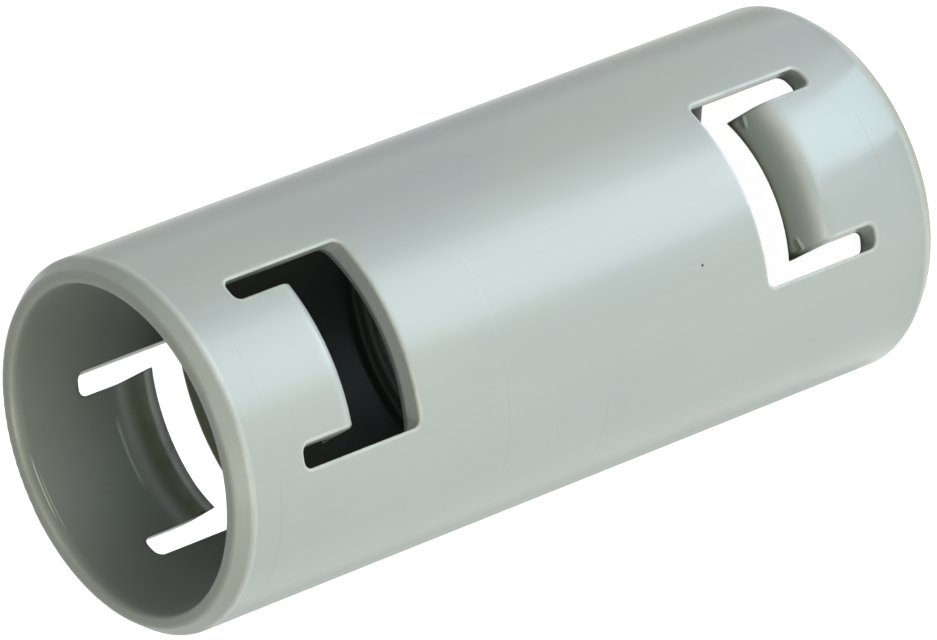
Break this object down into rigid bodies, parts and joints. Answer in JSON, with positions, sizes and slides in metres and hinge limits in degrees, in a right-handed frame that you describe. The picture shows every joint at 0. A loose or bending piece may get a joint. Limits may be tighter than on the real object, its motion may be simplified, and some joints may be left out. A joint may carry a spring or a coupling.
{
  "type": "conduit claw coupling",
  "caption": "Moulded sleeve that joins two lengths of 20 mm corrugated conduit; spring claws cut from its wall fold into the bore and snap into the conduit's grooves.",
  "frame": {"origin": "centre of the bottom mouth, on the face that the sleeve stands on", "axes": "+Z along the tube's axis, towards the other mouth; the claws face -Y and +Y"},
  "size_m": [0.0236, 0.0236, 0.055],
  "materials": {
    "claw_sleeve": "light grey moulded PVC, satin"
  },
  "bodies": {
    "root": {"claw_sleeve": "claw_sleeve"}
  },
  "joints": []
}
